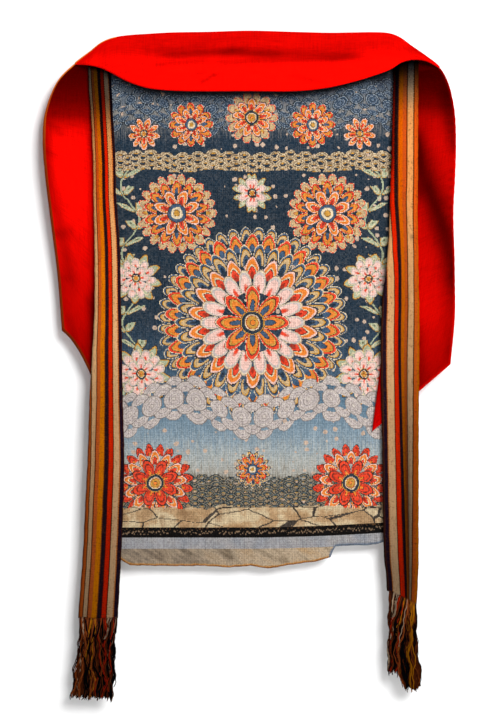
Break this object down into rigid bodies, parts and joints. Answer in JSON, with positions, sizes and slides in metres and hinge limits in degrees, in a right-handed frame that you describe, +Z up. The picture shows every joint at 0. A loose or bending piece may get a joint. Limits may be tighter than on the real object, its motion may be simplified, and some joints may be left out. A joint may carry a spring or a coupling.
{
  "type": "thangka scroll painting",
  "caption": "Hanging woven silk picture panel with a red cover cloth drawn up over its top and striped, fringed bands hanging down its sides.",
  "frame": {"origin": "crest of the cover cloth's top fold, in the middle of the hanging's width, where it hangs", "axes": "+Z up, -Y towards the viewer in front of the picture, +X to the viewer's right"},
  "size_m": [0.726, 0.0348, 1.1748],
  "materials": {
    "picture_silk": "figured silk weave with a faint lustre, faded",
    "cover_silk": "plain woven red silk, soft sheen",
    "band_weave": "warp-faced striped wool weave, matte",
    "fringe_yarn": "plied wool yarn ends, matte"
  },
  "bodies": {
    "root": {"picture_panel": "picture_silk", "cover_cloth": "cover_silk", "band_left": "band_weave", "band_right": "band_weave", "fringe_left": "fringe_yarn", "fringe_right": "fringe_yarn"}
  },
  "joints": []
}
